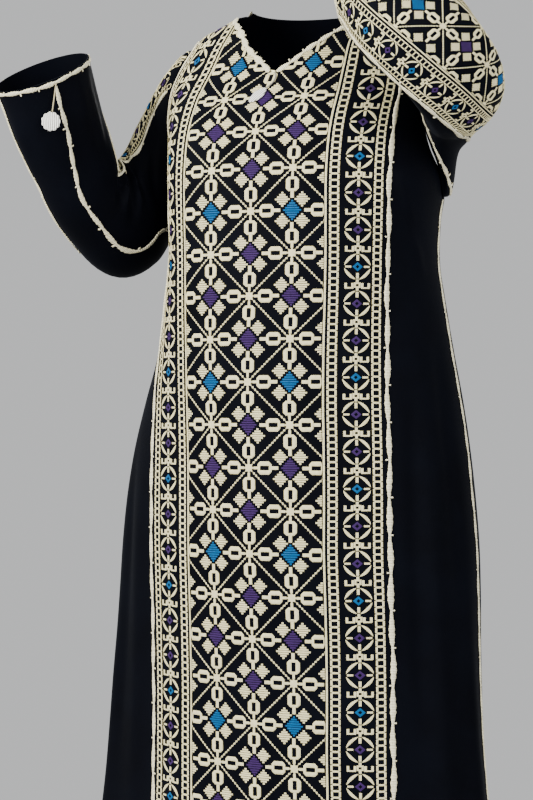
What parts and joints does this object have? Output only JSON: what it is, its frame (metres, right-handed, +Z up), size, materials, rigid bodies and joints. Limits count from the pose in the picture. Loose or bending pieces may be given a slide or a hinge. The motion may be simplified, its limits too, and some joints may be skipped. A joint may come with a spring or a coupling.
{
  "type": "long abaya with an embroidered front panel",
  "caption": "Long loose black abaya as worn, hollow, arms bent, with embroidered front and sleeve panels, scalloped cream braid on the seams, a V neck and small charms on cords.",
  "frame": {"origin": "between the shoulders, at the height of the back of the neck, where the garment is held up", "axes": "+Z up along the garment's length, -Y out of the front, +X towards the right sleeve as seen from the front"},
  "size_m": [0.69, 0.4976, 1.4228],
  "materials": {
    "black_cloth": "matte near-black crepe with a slightly blue cast",
    "embroidered_cloth": "near-black crepe covered in cream, purple and blue thread embroidery",
    "cream_braid": "cream thread braid with scalloped edges",
    "charm": "off-white thread worked tightly over a flat core"
  },
  "bodies": {
    "root": {"front_side_left": "black_cloth", "front_side_right": "black_cloth", "back": "black_cloth", "sleeve_left_front": "black_cloth", "sleeve_left_back": "black_cloth", "sleeve_right_front": "black_cloth", "sleeve_right_back": "black_cloth", "front_panel": "embroidered_cloth", "sleeve_left_outer": "embroidered_cloth", "sleeve_right_outer": "embroidered_cloth", "neck_braid_left": "cream_braid", "neck_braid_right": "cream_braid", "neck_braid_back": "cream_braid", "panel_braid_left": "cream_braid", "panel_braid_right": "cream_braid", "side_braid_left": "cream_braid", "side_braid_right": "cream_braid", "sleeve_left_braid_front": "cream_braid", "sleeve_left_braid_back": "cream_braid", "sleeve_left_braid_under": "cream_braid", "sleeve_left_braid_cuff": "cream_braid", "sleeve_right_braid_front": "cream_braid", "sleeve_right_braid_back": "cream_braid", "sleeve_right_braid_under": "cream_braid", "sleeve_right_braid_cuff": "cream_braid", "neck_charm_cord": "cream_braid", "cuff_charm_cord": "cream_braid", "neck_charm": "charm", "cuff_charm": "charm"}
  },
  "joints": []
}
